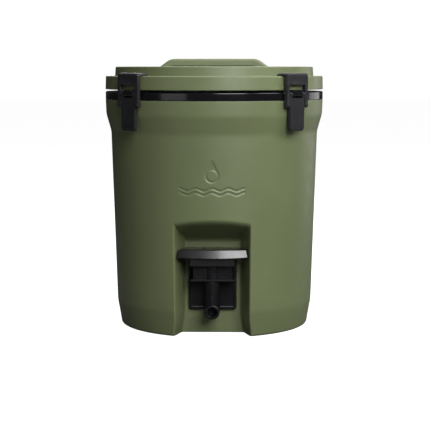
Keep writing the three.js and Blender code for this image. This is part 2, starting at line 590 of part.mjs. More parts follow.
function makeSpout() {
  const tubeTop = SHELF_LOW - GAP;
  const tube = join(
    rodZ(TUBE_R, OUTLET_Z, tubeTop, TUBE_DEPTH, 24),
    rodY(TUBE_R - 1, TUBE_DEPTH, PLATE_FRONT + 0.4, SHANK_Z, 24),
    rodY(OUTLET_R, OUTLET_FRONT - 4, TUBE_DEPTH - 6, OUTLET_Z, 24),
    rodY(OUTLET_R + 0.8, OUTLET_FRONT, OUTLET_FRONT - 4, OUTLET_Z, 24));
  addPiece('spout', cut(tube,
    rodZ(TUBE_BORE, SEAT_TOP, tubeTop + 2, TUBE_DEPTH),
    rodZ(SEAT_R, SEAT_LOW - 1, SEAT_TOP + 1, TUBE_DEPTH),
    rodZ(TUBE_BORE, OUTLET_Z, SEAT_LOW, TUBE_DEPTH),
    rodY(SHANK_BORE, TUBE_DEPTH, PLATE_FRONT - 2, SHANK_Z),
    rodY(OUTLET_BORE, OUTLET_FRONT + 2, TUBE_DEPTH, OUTLET_Z)), blackMatte);
}

class CoilCurve extends THREE.Curve {
  constructor(radius, low, high, turns) {
    super();
    Object.assign(this, { radius, low, high, turns });
  }

  getPoint(t, target = new THREE.Vector3()) {
    const angle = t * this.turns * Math.PI * 2;
    return target.set(this.radius * Math.cos(angle), this.radius * Math.sin(angle) - TUBE_DEPTH,
      this.low + t * (this.high - this.low));
  }
}

function makeValve() {
  const collar = STEM_TOP - 4;
  addPiece('valve_plunger', join(
    rodZ(STEM_R, SEAT_TOP + 4, STEM_TOP, TUBE_DEPTH, ROUND_PIN),
    rodZ(2, SEAT_LOW - 4, SEAT_TOP + 5, TUBE_DEPTH, ROUND_PIN),
    rodZ(5.6, SEAT_LOW - 4.5, SEAT_LOW - 2.7, TUBE_DEPTH),
    rodZ(5.6, collar, collar + 1.5, TUBE_DEPTH)), blackMatte);
  addPiece('valve_seal', rodZ(5.8, SEAT_LOW - 2.4, SEAT_LOW - GAP, TUBE_DEPTH)
    .subtract(rodZ(2.3, SEAT_LOW - 5, SEAT_LOW + 2, TUBE_DEPTH, ROUND_PIN)), silicone);

  const wire = 0.6;
  const section = new THREE.Shape();
  section.absarc(0, 0, wire, 0, Math.PI * 2);
  const coil = new CoilCurve(4.9, SPRING_LOW + wire + GAP, collar - wire - GAP, 5);
  const spring = new THREE.ExtrudeGeometry(section, { steps: 50, extrudePath: coil, curveSegments: 3 });
  addPiece('return_spring', solid(spring), steel);
}

function makePaddle() {
  const corners = [];
  for (const sign of [-1, 1]) {
    for (const z of [PADDLE_TOP, PADDLE_UNDER]) corners.push([sign * PADDLE_REAR_HALF, -PADDLE_REAR, z]);
  }
  const arcSteps = 12;
  for (let i = 0; i <= arcSteps; i += 1) {
    const across = (i / arcSteps) * 2 - 1;
    const bow = across * across;
    corners.push([across * PADDLE_TOP_HALF, -PADDLE_TOP_FRONT + PADDLE_BOW * bow, PADDLE_TOP]);
    corners.push([across * PADDLE_TIP_HALF, -PADDLE_TIP + PADDLE_BOW * bow, PADDLE_LOW + PADDLE_RISE * bow]);
  }
  const wing = solid(new ConvexGeometry(corners.map(([x, y, z]) => new THREE.Vector3(x, y, z))));

  const cheek = new THREE.Shape();
  cheek.moveTo(-PADDLE_PIVOT_DEPTH + 3.4, PADDLE_LOW + 1);
  cheek.lineTo(-PADDLE_PIVOT_DEPTH + 3.4, PADDLE_PIVOT_Z);
  cheek.absarc(-PADDLE_PIVOT_DEPTH, PADDLE_PIVOT_Z, 3.4, 0, -Math.PI / 2, true);
  cheek.lineTo(-SKIRT_FRONT, SKIRT_LOW);
  cheek.lineTo(-SKIRT_FRONT, PADDLE_LOW + 1);
  const cheeks = [-1, 1].map((sign) => {
    const ends = [sign * (BLOCK_HALF + 0.4), sign * (BLOCK_HALF + 3.4)].sort((a, b) => a - b);
    return acrossX(cheek, ends[0], ends[1]);
  });
  const skirt = box(-BLOCK_HALF - 3.4, BLOCK_HALF + 3.4, -SKIRT_FRONT, -SKIRT_BACK, SKIRT_LOW,
    PADDLE_LOW + 1);
  const pressPad = rodZ(6, STEM_TOP + 0.4, PADDLE_LOW + 1, TUBE_DEPTH);
  const bore = rodX(PADDLE_PIN_R + PIN_PLAY, -BEYOND, BEYOND, -PADDLE_PIVOT_DEPTH, PADDLE_PIVOT_Z, ROUND_PIN);
  addPiece('paddle_lever', join(wing, ...cheeks, skirt, pressPad).subtract(bore), blackGloss);
}

makeBody();
makeRim();
makeLatches();
makeLid();
makeHandle();
makeTapMounting();
makeTapHousing();
makeSpout();
makeValve();
makePaddle();

export default jug;
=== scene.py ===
"""The looks of a large insulated water jug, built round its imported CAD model.

Shapes are drawn in millimetres and turned into metres when a mesh is made. +Z is up, the tap faces -Y.
"""
import json
import math

import bmesh
import bpy
import numpy as np
from mathutils import Matrix, Vector


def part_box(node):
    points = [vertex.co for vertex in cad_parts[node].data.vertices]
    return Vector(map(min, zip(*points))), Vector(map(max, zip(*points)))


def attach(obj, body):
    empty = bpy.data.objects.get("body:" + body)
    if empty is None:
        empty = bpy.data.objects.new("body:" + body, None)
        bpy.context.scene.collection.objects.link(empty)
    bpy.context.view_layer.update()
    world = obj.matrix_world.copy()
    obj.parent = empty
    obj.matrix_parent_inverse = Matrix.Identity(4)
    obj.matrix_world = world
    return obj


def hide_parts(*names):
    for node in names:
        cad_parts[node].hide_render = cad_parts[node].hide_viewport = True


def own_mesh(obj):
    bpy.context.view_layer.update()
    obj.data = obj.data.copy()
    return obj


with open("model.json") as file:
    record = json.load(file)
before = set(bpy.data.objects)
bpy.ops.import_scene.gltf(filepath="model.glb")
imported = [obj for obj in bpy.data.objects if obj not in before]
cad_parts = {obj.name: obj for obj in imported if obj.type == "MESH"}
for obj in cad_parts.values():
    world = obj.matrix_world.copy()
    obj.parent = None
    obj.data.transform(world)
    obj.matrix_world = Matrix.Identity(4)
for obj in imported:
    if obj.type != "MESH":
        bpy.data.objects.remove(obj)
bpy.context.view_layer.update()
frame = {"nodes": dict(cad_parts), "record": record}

MM = 0.001
TAU = 2 * math.pi
NODES = frame["nodes"]
BODY_OF = {
    node: body
    for body, nodes in frame["record"]["behaviour"]["bodies"].items()
    for node in nodes
}


def span(node):
    """The lowest and highest corners of a CAD node, in millimetres."""
    low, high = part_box(node)
    return np.array(low) / MM, np.array(high) / MM


# ---- Sizes ---------------------------------------------------------------------------------

WALL = 3  # skin of the shell and of the lid

SHELL_TOP = span("outer_shell")[1][2]
FOOT_ROUND = 4.1  # radius of the edge that the jug stands on
FOOT_ROUND_INNER = 1.4  # the same edge inside the recess
FOOT_RISE = 2.5  # the middle of the base is this much off the ground
FOOT_INNER_R = 84
# outside of the body, from the foot up: (height, radius)
BODY_LINE = [(-20, 127.5), (34, 136.9), (271, 144.3), (294.6, 151), (330, 152.4)]
BODY_SOFT = 3.5  # half height of the rounding at the body's edges

RECESS_BACK = 90
RECESS_HALF = 38.4
RECESS_FLARE = 0.285
RECESS_SPLAY, SPLAY_TOP = 5, 36
RECESS_TOP = 127.8
RECESS_RISE = 0.55
RECESS_SOFT = 7  # rounding between the recess's own walls
MOUTH_SOFT = 8  # rounding where they meet the outside
FRONT_HALF = 60  # the front is gridded by width up to here, and by angle beyond

RIM_LOW = SHELL_TOP + 0.3
RIM_TOP = 326
RIM_OUTER_R = 151.8
RIM_INNER_R = 106.4
RIM_WALL = 3.2

LID_LOW = span("lid_cover")[0][2]
RING_TOP = span("lid_cover")[1][2]
FLANGE_R = span("lid_cover")[1][0]
FLANGE_TOP = 347.2
RING_R = 138.5
DECK_Z = 356
POCKET = (95, 36, 30)  # half length, half width and corner radius
POCKET_FLOOR = LID_LOW + WALL

HANDLE_TOP = span("handle")[1][2]
HANDLE_HALF = span("handle")[1][0]
HANDLE_WIDTH = 20
PIVOT_Z = 344

PIVOT_R = 156.3
LEVER_PIVOT_Z = 323.5
HOOK_PIVOT_Z = 309
KNUCKLE_R = 3.2
LUG_TOP = 329.3
LUG_IN = 153.2
LUG_HALF = 9.5
LATCH_ANGLES = {"front_right": -45, "rear_right": 45, "rear_left": 135, "front_left": -135}

TUBE_DEPTH = 112  # axis of the tap's tube, in front of the jug's axis
SHANK_Z = 64
OUTLET_Z = 34.3

# ---- Meshes --------------------------------------------------------------------------------


def make(name, verts, faces):
    """A smooth-shaded object from points in millimetres, with its faces turned outwards."""
    mesh = bpy.data.meshes.new(name)
    mesh.from_pydata((np.asarray(verts, float) * MM).tolist(), [], [list(f) for f in faces])
    soft = bmesh.new()
    soft.from_mesh(mesh)
    bmesh.ops.recalc_face_normals(soft, faces=soft.faces)
    soft.to_mesh(mesh)
    soft.free()
    mesh.shade_smooth()
    obj = bpy.data.objects.new(name, mesh)
    bpy.context.collection.objects.link(obj)
    return obj


def skin(name, rings, loop=False):
    """A closed surface through rings of points. A ring of one point is a pole."""
    verts, starts = [], []
    for ring in rings:
        ring = np.atleast_2d(ring)
        starts.append((len(verts), len(ring)))
        verts.extend(ring)
    faces = []
    pairs = list(zip(starts, starts[1:]))
    if loop:
        pairs.append((starts[-1], starts[0]))
    for (a, count_a), (b, count_b) in pairs:
        count = max(count_a, count_b)
        for i in range(count):
            j = (i + 1) % count
            if count_a == 1:
                faces.append((a, b + i, b + j))
            elif count_b == 1:
                faces.append((a + i, b, a + j))
            else:
                faces.append((a + i, a + j, b + j, b + i))
    if not loop:
        for start, count in (starts[0], starts[-1]):
            if count > 1:
                faces.append(range(start, start + count))
    return make(name, verts, faces)


def fillet(corners, closed=True, step=15):
    """The outline of (u, v, radius) corners, with each corner turned into an arc."""
    points = []
    count = len(corners)
    for i, (u, v, radius) in enumerate(corners):
        here = complex(u, v)
        if radius == 0 or (not closed and i in (0, count - 1)):
            points.append((u, v))
            continue
        back = complex(*corners[i - 1][:2]) - here
        ahead = complex(*corners[(i + 1) % count][:2]) - here
        back /= abs(back)
        ahead /= abs(ahead)
        turn = ahead / -back
        bend = math.atan2(turn.imag, turn.real)
        middle = back + ahead
        centre = here + middle / abs(middle) * radius / math.cos(bend / 2)
        start = here + back * radius * math.tan(abs(bend) / 2) - centre
        steps = max(2, math.ceil(abs(math.degrees(bend)) / step))
        for k in range(steps + 1):
            angle = bend * k / steps
            point = centre + start * complex(math.cos(angle), math.sin(angle))
            points.append((point.real, point.imag))
    return points


def circle(radius, z, sides):
    turn = np.arange(sides) * TAU / sides
    return np.stack([radius * np.sin(turn), -radius * np.cos(turn), np.full(sides, z)], 1)


def lathe(name, profile, sides=144):
    """A profile of (r, z) points turned round Z. It is a closed loop, or ends on the axis."""
    on_axis = profile[0][0] < 1e-6
    rings = [[[0, 0, z]] if r < 1e-6 else circle(r, z, sides) for r, z in profile]
    return skin(name, rings, loop=not on_axis)


def prism(name, outline, low, high, place):
    """An outline (u, v) run from low to high; place(u, v, w) gives the point."""
    count = len(outline)
    verts = [place(u, v, w) for w in (low, high) for u, v in outline]
    faces = [(i, (i + 1) % count, count + (i + 1) % count, count + i) for i in range(count)]
    return make(name, verts, faces + [range(count), range(count, 2 * count)])


def across_x(y, z, x):
    return (x, y, z)


def through_y(x, z, y):
    return (x, y, z)


def up_z(x, y, z):
    return (x, y, z)


def rect(u0, u1, v0, v1, corner=0):
    return fillet([(u0, v0, corner), (u1, v0, corner), (u1, v1, corner), (u0, v1, corner)])


def baked(obj):
    """Gives obj the mesh that its modifiers make."""
    depsgraph = bpy.context.evaluated_depsgraph_get()
    mesh = bpy.data.meshes.new_from_object(obj.evaluated_get(depsgraph))
    obj.modifiers.clear()
    obj.data = mesh
    return obj


def bevelled(obj, width, segments=3, angle=40):
    bevel = obj.modifiers.new("edges", "BEVEL")
    bevel.width = width * MM
    bevel.segments = segments
    bevel.limit_method = "ANGLE"
    bevel.angle_limit = math.radians(angle)
    return baked(obj)


def combined(obj, operation, *tools):
    for tool in tools:
        step = obj.modifiers.new(tool.name, "BOOLEAN")
        step.operation = operation
        step.solver = "EXACT"
        step.object = tool
    baked(obj)
    for tool in tools:
        bpy.data.objects.remove(tool)
    return obj


def turned_to(obj, axis, at):
    """Turns a piece made round Z so that its axis points along axis, and moves its origin to at."""
    turn = Vector((0, 0, 1)).rotation_difference(Vector(axis)).to_matrix().to_4x4()
    obj.data.transform(Matrix.Translation(Vector(at) * MM) @ turn)
    return obj


def finished(obj, material, *nodes, slot=None, crease=38):
    """Materials, edges and body: obj stands for the CAD nodes and rides with the first. slot is not used.
    """
    obj.data.shade_smooth()
    obj.data.set_sharp_from_angle(angle=math.radians(crease))
    even = obj.modifiers.new("even_normals", "WEIGHTED_NORMAL")
    even.keep_sharp = True
    obj.data.materials.clear()
    obj.data.materials.append(material)
    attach(obj, BODY_OF[nodes[0]])
    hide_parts(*nodes)
    return obj


# ---- Materials -----------------------------------------------------------------------------


def mapped(tree, source, low, high, out_low, out_high):
    """source from low..high onto out_low..out_high."""
    node = tree.nodes.new("ShaderNodeMapRange")
    node.inputs["From Min"].default_value = low
    node.inputs["From Max"].default_value = high
    node.inputs["To Min"].default_value = out_low
    node.inputs["To Max"].default_value = out_high
    tree.links.new(source, node.inputs["Value"])
    return node.outputs["Result"]


def noise(tree, coordinates, scale, detail=2.0, stretch=None):
    node = tree.nodes.new("ShaderNodeTexNoise")
    node.inputs["Scale"].default_value = scale
    node.inputs["Detail"].default_value = detail
    if stretch:
        squeeze = tree.nodes.new("ShaderNodeMapping")
        squeeze.inputs["Scale"].default_value = stretch
        tree.links.new(coordinates, squeeze.inputs["Vector"])
        coordinates = squeeze.outputs["Vector"]
    tree.links.new(coordinates, node.inputs["Vector"])
    return node.outputs["Fac"]


def mixed(tree, share, first, second):
    """A colour between first and second, which are colours or sockets."""
    node = tree.nodes.new("ShaderNodeMix")
    node.data_type = "RGBA"
    tree.links.new(share, node.inputs["Factor"])
    for socket, value in ((node.inputs[6], first), (node.inputs[7], second)):
        if isinstance(value, tuple):
            socket.default_value = (*value, 1)
        else:
            tree.links.new(value, socket)
    return node.outputs[2]


def tinted(colour, factor):
    return tuple(min(1.0, c * factor) for c in colour)


def moulded(name, colour, roughness, grain=900, relief=0.00006, drift=0.06, edge_wear_and_highlight=0.25,
            specular=0.5, coat=0.0, metallic=0.0, stretch=None):
    """Moulded plastic, foam, rubber or steel: drifting tone, fine speckle, grain, and edges lightened
    partly as wear and partly as a painted highlight.
    """
    material = bpy.data.materials.new(name)
    material.use_nodes = True
    tree = material.node_tree
    shader = tree.nodes["Principled BSDF"]
    spot = tree.nodes.new("ShaderNodeTexCoord").outputs["Object"]
    patches = mapped(tree, noise(tree, spot, 11, 3), 0.3, 0.7, 0, 1)
    tone = mixed(tree, patches, tinted(colour, 1 - drift), tinted(colour, 1 + drift))
    specks = mapped(tree, noise(tree, spot, grain * 0.6, 1), 0.6, 0.75, 0, 0.35)
    tone = mixed(tree, specks, tone, tinted(colour, 1 - 2.5 * drift))
    # Sharp edges are lightened towards a pale tone in patches: partly edge wear, partly a painted
    # highlight standing in for the shine on their rounded fillets.
    edges = tree.nodes.new("ShaderNodeNewGeometry").outputs["Pointiness"]
    edge_patchiness = mapped(tree, noise(tree, spot, 160, 4), 0.42, 0.62, 0.2, 1)
    rubbed_and_highlit = tree.nodes.new("ShaderNodeMath")
    rubbed_and_highlit.operation = "MULTIPLY"
    tree.links.new(mapped(tree, edges, 0.52, 0.62, 0, edge_wear_and_highlight), rubbed_and_highlit.inputs[0])
    tree.links.new(edge_patchiness, rubbed_and_highlit.inputs[1])
    pale = tuple(0.5 * c + 0.5 * (0.35 + 0.3 * c) for c in colour)
    tone = mixed(tree, rubbed_and_highlit.outputs[0], tone, pale)
    tree.links.new(tone, shader.inputs["Base Color"])
    cloudy = noise(tree, spot, 55, 4, stretch)
    tree.links.new(
        mapped(tree, cloudy, 0.3, 0.7, roughness * 0.88, roughness * 1.12),
        shader.inputs["Roughness"])
    bump = tree.nodes.new("ShaderNodeBump")
    bump.inputs["Strength"].default_value = 0.5
    bump.inputs["Distance"].default_value = relief
    tree.links.new(noise(tree, spot, grain, 3, stretch), bump.inputs["Height"])
    tree.links.new(bump.outputs["Normal"], shader.inputs["Normal"])
    shader.inputs["Specular IOR Level"].default_value = specular
    shader.inputs["Metallic"].default_value = metallic
    shader.inputs["Coat Weight"].default_value = coat
    shader.inputs["Coat Roughness"].default_value = 0.12
    return material


SHELL_GREEN = (0.111, 0.133, 0.061)
LOOKS = {
    "shell_green": moulded("shell_green_satin", SHELL_GREEN, 0.46),
    "lid_green": moulded("lid_green_satin", tinted(SHELL_GREEN, 1.04), 0.44),
    "rim_black": moulded("rim_black_gloss", (0.005, 0.005, 0.006), 0.14, relief=0.00002, edge_wear_and_highlight=0.05),
    "paddle_black": moulded("paddle_black_gloss", (0.005, 0.005, 0.006), 0.3, relief=0.00002,
                            edge_wear_and_highlight=0.05, coat=0.3),
    "latch_black": moulded("latch_black_matte", (0.010, 0.010, 0.012), 0.5, edge_wear_and_highlight=0.08, specular=0.4),
    "tap_black": moulded("tap_black_satin", (0.004, 0.004, 0.005), 0.36, edge_wear_and_highlight=0.06, specular=0.26),
    "tank_liner": moulded("tank_liner_satin", (0.58, 0.60, 0.57), 0.4, drift=0.02),
    "foam": moulded("foam_cells", (0.70, 0.62, 0.38), 0.9, grain=420, relief=0.0006, edge_wear_and_highlight=0),
    "pin_steel": moulded("pin_steel_brushed", (0.24, 0.24, 0.25), 0.34, grain=500, drift=0.04,
                         relief=0.00002, metallic=1.0, stretch=(1, 1, 12)),
    "seal_silicone": moulded("seal_silicone_matte", (0.34, 0.35, 0.345), 0.6, drift=0.03),
}
NODE_LOOKS = {
    "foam_core": "foam", "lid_foam": "foam", "inner_liner": "tank_liner", "lid_liner": "tank_liner",
    "lid_gasket": "seal_silicone", "foam_plug": "tap_black", "tap_outer_washer": "seal_silicone",
    "tap_inner_washer": "seal_silicone", "tap_nut": "tap_black", "tap_shank": "tap_black",
    "stem_seal": "seal_silicone", "valve_plunger": "tap_black",
    "valve_seal": "seal_silicone",
}
for node, look in NODE_LOOKS.items():
    for material_slot in NODES[node].material_slots:
        material_slot.material = LOOKS[look]

# ---- Body shell ----------------------------------------------------------------------------


def smooth_min(a, b, soft):
    near = np.clip(1 - np.abs(a - b) / soft, 0, 1)
    return np.minimum(a, b) - near * near * soft / 4


def smooth_max(a, b, soft):
    return -smooth_min(-a, -b, soft)


def body_radius(z):
    heights, radii = zip(*BODY_LINE)
    return float(np.mean(np.interp(z + np.linspace(-BODY_SOFT, BODY_SOFT, 15), heights, radii)))


def recess_depth(x, z):
    """How far in front of the axis the recess leaves the body's material, at (x, z)."""
    half = RECESS_HALF + RECESS_SPLAY * max(0, 1 - z / SPLAY_TOP) ** 2
    sides = RECESS_BACK + (np.abs(x) - half) / RECESS_FLARE
    ceiling = RECESS_BACK + (z - RECESS_TOP) / RECESS_RISE
    walls = smooth_max(np.full_like(x, RECESS_BACK), sides, RECESS_SOFT)
    return smooth_max(walls, np.full_like(x, ceiling), RECESS_SOFT)


# the moulded mark: a plain water drop over two waves
DROP_Z, DROP_R, DROP_TIP = 217.5, 9.4, 238.5
WAVES_Z, WAVE_GAP, WAVE_HALF, WAVE_LENGTH, WAVE_HEIGHT = 196.5, 5.5, 43, 21.5, 1.7
STROKE, MARK_DEPTH, MARK_EDGE = 1.3, 0.75, 1


def mark_depth(x, z):
    across = np.abs(x)
    lean = math.asin(DROP_R / (DROP_TIP - DROP_Z))
    shoulder = DROP_Z + DROP_R * math.sin(lean)
    if z > shoulder:
        drop = across * math.cos(lean) - (DROP_TIP - z) * math.sin(lean)
    else:
        drop = np.hypot(across, z - DROP_Z) - DROP_R
    core = np.hypot(across, (z - DROP_Z) * 0.98) - DROP_R + 2 * STROKE
    if z > shoulder - 3:
        core = np.maximum(core, drop + 2 * STROKE)
    signed = np.maximum(drop, -core)
    for level in (WAVES_Z - WAVE_GAP / 2, WAVES_Z + WAVE_GAP / 2):
        line = np.abs(z - level - WAVE_HEIGHT * np.cos(x * TAU / WAVE_LENGTH)) * 0.9 - STROKE
        signed = np.minimum(signed, np.maximum(line, across - WAVE_HALF))
    return MARK_DEPTH * np.clip(0.5 - signed / MARK_EDGE, 0, 1)


def ruler(start, *stretches):
    """Values from start, through stretches of (end, step)."""
    values = [start]
    for end, step in stretches:
        count = round(abs(end - values[-1]) / step)
        values.extend(np.linspace(values[-1], end, count + 1)[1:])
    return np.array(values)


HALF_FRONT = ruler(0, (44.8, 0.8), (54, 0.46), (FRONT_HALF, 1.5))
FRONT_X = np.concatenate([-HALF_FRONT[:0:-1], HALF_FRONT])
BACK_STEPS = 64
BACK_SHARES = np.arange(1, BACK_STEPS + 1) / BACK_STEPS
LEVELS = ruler(SHELL_TOP - 0.8, (300, 4.8), (289, 1), (277, 3), (265, 1), (247, 4.5), (189, 0.7),
               (162, 4.5), (118, 0.8), (42, 5), (26, 1.2), (8, 3))


def shell_ring(radius, z, depth):
    """A ring of the shell: depth over the front's columns, and radius round the rest."""
    side_angle = math.asin(FRONT_HALF / radius)
    angle = side_angle + (math.pi - side_angle) * BACK_SHARES
    x, y = radius * np.sin(angle), -radius * np.cos(angle)
    heights = np.broadcast_to(z, (len(FRONT_X) + 2 * BACK_STEPS - 1,)) if np.isscalar(z) else z
    return np.stack([
        np.concatenate([FRONT_X, x, -x[-2::-1]]),
        np.concatenate([-depth, y, y[-2::-1]]), heights], 1)


def wall_depth(z, inset, marked=False):
    """Depth over the front's columns at a height, inset from the outer face."""
    radius = body_radius(z)
    face = np.sqrt(radius ** 2 - FRONT_X ** 2)
    depth = smooth_min(face, recess_depth(FRONT_X, z), MOUTH_SOFT)
    if marked:
        depth = depth - mark_depth(FRONT_X, z)
    return np.minimum(depth - inset, np.sqrt((radius - inset) ** 2 - FRONT_X ** 2))


def foot_height(reach):
    return np.clip(FOOT_INNER_R - reach, 0, FOOT_RISE)


def foot_rounds():
    """The radius of the edge under each of the front's columns."""
    face = np.sqrt(body_radius(FOOT_ROUND) ** 2 - FRONT_X ** 2)
    sunk = np.clip((face - wall_depth(FOOT_ROUND, 0)) / 12, 0, 1)
    return FOOT_ROUND + (FOOT_ROUND_INNER - FOOT_ROUND) * sunk


def foot_ring(radius, depth):
    ring = shell_ring(radius, 0.0, depth)
    ring[:, 2] = foot_height(np.hypot(ring[:, 0], ring[:, 1]))
    return ring


def shell_rings():
    base_radius = body_radius(FOOT_ROUND)
    front_rounds = foot_rounds()
    all_rounds = np.concatenate([front_rounds, np.full(2 * BACK_STEPS - 1, FOOT_ROUND)])
    edge = foot_ring(base_radius - FOOT_ROUND, wall_depth(FOOT_ROUND, front_rounds))
    rings = [edge]
    depth = -edge[:len(FRONT_X), 1]
    for radius in (FOOT_INNER_R, FOOT_INNER_R - FOOT_RISE, 74):
        depth = np.minimum(np.sqrt(radius ** 2 - FRONT_X ** 2), depth - 0.6)
        rings.append(foot_ring(radius, depth))
    last = rings[-1]
    for share in (0.55, 0.2):
        rings.append(last * [share, share, 0] + [0, 0, FOOT_RISE])
    rings.append([[0, 0, FOOT_RISE]])
    rings.reverse()
    for angle in np.radians([70, 50, 30, 14, 0]):
        inset = 1 - math.cos(angle)
        ring = shell_ring(base_radius - FOOT_ROUND * inset, 0.0,
                          wall_depth(FOOT_ROUND, front_rounds * inset))
        ring[:, 2] = edge[:, 2] + all_rounds * (1 - math.sin(angle))
        rings.append(ring)
    for z in LEVELS[::-1]:
        rings.append(shell_ring(body_radius(z), z, wall_depth(z, 0, marked=True)))
    for inset in (0.25, 0.8, WALL):
        z = SHELL_TOP - (0.2 if inset < 0.5 else 0)
        rings.append(shell_ring(body_radius(z) - inset, z, wall_depth(z, inset)))
    for z in LEVELS[1:]:
        rings.append(shell_ring(body_radius(z) - WALL, z, wall_depth(z, WALL)))
    floor = FOOT_RISE + WALL
    inner = shell_ring(74.0, floor, np.sqrt(74.0 ** 2 - FRONT_X ** 2))
    rings += [inner, inner * [0.4, 0.4, 1], [[0, 0, floor]]]
    return rings


finished(skin("shell_skin", shell_rings()), LOOKS["shell_green"], "outer_shell",
         slot="shell_green", crease=60)

# ---- Rim band ------------------------------------------------------------------------------


def in_latch_plane(angle):
    """place() for a prism drawn as (r, z) and run across the plane through the jug's axis."""
    out = (math.cos(math.radians(angle)), math.sin(math.radians(angle)))

    def place(r, z, t):
        return (r * out[0] - t * out[1], r * out[1] + t * out[0], z)

    return place


def arc(u, v, radius, start, end, step=12):
    count = max(2, math.ceil(abs(end - start) / step))
    angles = np.radians(np.linspace(start, end, count + 1))
    return [(u + radius * math.cos(a), v + radius * math.sin(a)) for a in angles]


def make_rim():
    rim = lathe("rim_band", fillet([
        (RIM_INNER_R, RIM_LOW, 0), (RIM_INNER_R + RIM_WALL, RIM_LOW, 0),
        (RIM_INNER_R + RIM_WALL, RIM_TOP - RIM_WALL, 1.5),
        (RIM_OUTER_R - RIM_WALL, RIM_TOP - RIM_WALL, 1.5), (RIM_OUTER_R - RIM_WALL, RIM_LOW, 0),
        (RIM_OUTER_R, RIM_LOW, 0.5), (RIM_OUTER_R, RIM_TOP, 1.5), (RIM_INNER_R, RIM_TOP, 1)]), 160)
    inside = RIM_OUTER_R - 1.6
    lug = [(inside, LEVER_PIVOT_Z - KNUCKLE_R), *arc(PIVOT_R, LEVER_PIVOT_Z, KNUCKLE_R, -90, 0),
           (PIVOT_R + KNUCKLE_R, LUG_TOP - 1.6), (PIVOT_R + 1.8, LUG_TOP), (LUG_IN, LUG_TOP),
           (LUG_IN, RIM_TOP - 0.3), (inside, RIM_TOP - 0.3)]
    lugs = [bevelled(prism("lug", lug, -LUG_HALF, LUG_HALF, in_latch_plane(angle)), 0.5, 2)
            for angle in LATCH_ANGLES.values()]
    finished(combined(rim, "UNION", *lugs), LOOKS["rim_black"], "rim_ring", slot="rim_black")


make_rim()

# ---- Latches -------------------------------------------------------------------------------

LEVER_HALF = 14
LEVER_LOW = span("latch_lever_front_right")[0][2]
LEVER_IN, LEVER_OUT, LEVER_NOTCH_Z = 153.6, 158.6, 318.6
NOTCH_HALF = 9.9  # clears the lug
GRIP_HALF = 9
HOOK_HALF = 20
HOOK_IN, HOOK_OUT, HOOK_UNDER = 153.9, 159, 348.4
HOOK_TOP = span("latch_hook_front_right")[1][2]
HOOK_TIP_R, HOOK_TIP_UNDER, HOOK_WINDOW_TOP, HOOK_WINDOW_HALF = 140.2, 347.6, 336, 15
PIN_R = 1.5


def make_lever(place, angle):
    plane = in_latch_plane(angle)
    side = fillet([
        (LEVER_IN, LEVER_LOW + 5, 0), (LEVER_IN + 0.6, LEVER_LOW + 0.2, 0.3),
        (LEVER_OUT - 0.7, LEVER_LOW, 0.8), (LEVER_OUT, LEVER_LOW + 3, 2),
        (LEVER_OUT, LEVER_NOTCH_Z - 1.6, 0.5)], closed=False)
    side += arc(PIVOT_R, LEVER_PIVOT_Z, KNUCKLE_R, -15, 180)
    side += [(PIVOT_R - KNUCKLE_R, LEVER_PIVOT_Z - 3.5), (LEVER_IN, LEVER_NOTCH_Z - 2.6)]
    lever = prism(f"lever_skin_{place}", side, -LEVER_HALF, LEVER_HALF, plane)
    face = fillet([
        (-LEVER_HALF - 0.2, LEVER_PIVOT_Z + 6, 0), (-LEVER_HALF + 1, LEVER_LOW - 0.2, 5),
        (LEVER_HALF - 1, LEVER_LOW - 0.2, 5), (LEVER_HALF + 0.2, LEVER_PIVOT_Z + 6, 0)])
    cutter = prism("face", face, LEVER_IN - 4, LEVER_OUT + 4, lambda t, z, r: plane(r, z, t))
    combined(lever, "INTERSECT", cutter)
    notch = prism("notch", rect(LEVER_IN - 4, LEVER_OUT + 4, LEVER_NOTCH_Z, LEVER_PIVOT_Z + 8),
                  -NOTCH_HALF, NOTCH_HALF, plane)
    bevelled(combined(lever, "DIFFERENCE", notch), 0.55, 2)
    grip = prism("grip", rect(LEVER_OUT - 0.5, LEVER_OUT + 2, LEVER_LOW + 5, LEVER_LOW + 6.2),
                 -GRIP_HALF, GRIP_HALF, plane)
    finished(combined(lever, "DIFFERENCE", grip), LOOKS["latch_black"],
             f"latch_lever_{place}", slot="latch_black")


def make_hook(place, angle):
    plane = in_latch_plane(angle)
    side = arc(PIVOT_R, HOOK_PIVOT_Z, KNUCKLE_R, 180, 360)
    side += fillet([
        (HOOK_OUT + 0.5, HOOK_PIVOT_Z, 0), (HOOK_OUT, HOOK_PIVOT_Z + 4, 1), (HOOK_OUT, HOOK_TOP, 3.5),
        (HOOK_TIP_R + 6, HOOK_TOP - 0.3, 3), (HOOK_TIP_R, HOOK_TOP - 1.9, 1.2),
        (HOOK_TIP_R, HOOK_TIP_UNDER, 0.4), (HOOK_TIP_R + 2.1, HOOK_TIP_UNDER, 0.4),
        (HOOK_TIP_R + 2.9, HOOK_UNDER, 0.4), (HOOK_IN, HOOK_UNDER, 1.2),
        (HOOK_IN, HOOK_PIVOT_Z + 4, 1), (PIVOT_R - KNUCKLE_R, HOOK_PIVOT_Z, 0)], closed=False)[1:-1]
    hook = prism(f"hook_skin_{place}", side, -HOOK_HALF, HOOK_HALF, plane)
    window = prism("window", rect(HOOK_IN - 6, HOOK_OUT + 6, HOOK_PIVOT_Z - 9, HOOK_WINDOW_TOP),
                   -HOOK_WINDOW_HALF, HOOK_WINDOW_HALF, plane)
    face = fillet([
        (-HOOK_HALF, HOOK_PIVOT_Z - 5, 0), (HOOK_HALF, HOOK_PIVOT_Z - 5, 0),
        (HOOK_HALF, HOOK_TOP + 0.1, 4.5), (-HOOK_HALF, HOOK_TOP + 0.1, 4.5)])
    outline = prism("face", face, HOOK_TIP_R - 3, HOOK_OUT + 6, lambda t, z, r: plane(r, z, t))
    combined(combined(hook, "DIFFERENCE", window), "INTERSECT", outline)
    bevelled(hook, 0.6, 2)
    finished(hook, LOOKS["latch_black"], f"latch_hook_{place}", slot="latch_black")


